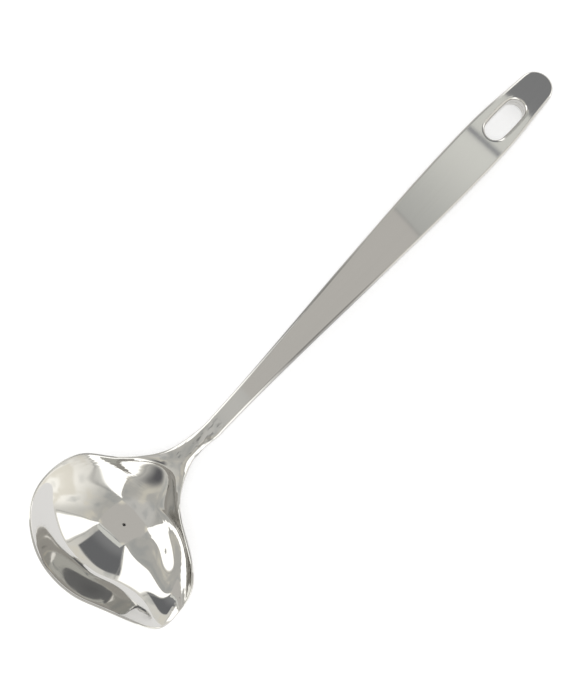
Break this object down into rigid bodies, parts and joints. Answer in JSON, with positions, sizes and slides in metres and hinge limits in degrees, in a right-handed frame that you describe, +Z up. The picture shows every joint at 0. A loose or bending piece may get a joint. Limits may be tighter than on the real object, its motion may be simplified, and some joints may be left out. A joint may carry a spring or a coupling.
{
  "type": "sauce spoon",
  "caption": "Stainless-steel sauce spoon: a deep polished bowl with a pouring spout on its right side, on a long hollow satin handle with an oblong hanging hole.",
  "frame": {"origin": "on the table that the spoon lies on, under the middle of the whole spoon", "axes": "+X from the bowl to the end of the handle, +Y to the side away from the spout, +Z up out of the table"},
  "size_m": [0.3002, 0.0812, 0.034],
  "materials": {
    "polished_steel": "mirror-polished stainless steel",
    "satin_steel": "stainless steel, brushed lengthwise, with polished long edges"
  },
  "bodies": {
    "root": {"bowl": "polished_steel", "neck_weld": "polished_steel", "handle_front_shell": "satin_steel", "handle_back_shell": "satin_steel", "handle_seam_weld": "satin_steel", "hanging_hole_weld": "satin_steel"}
  },
  "joints": []
}
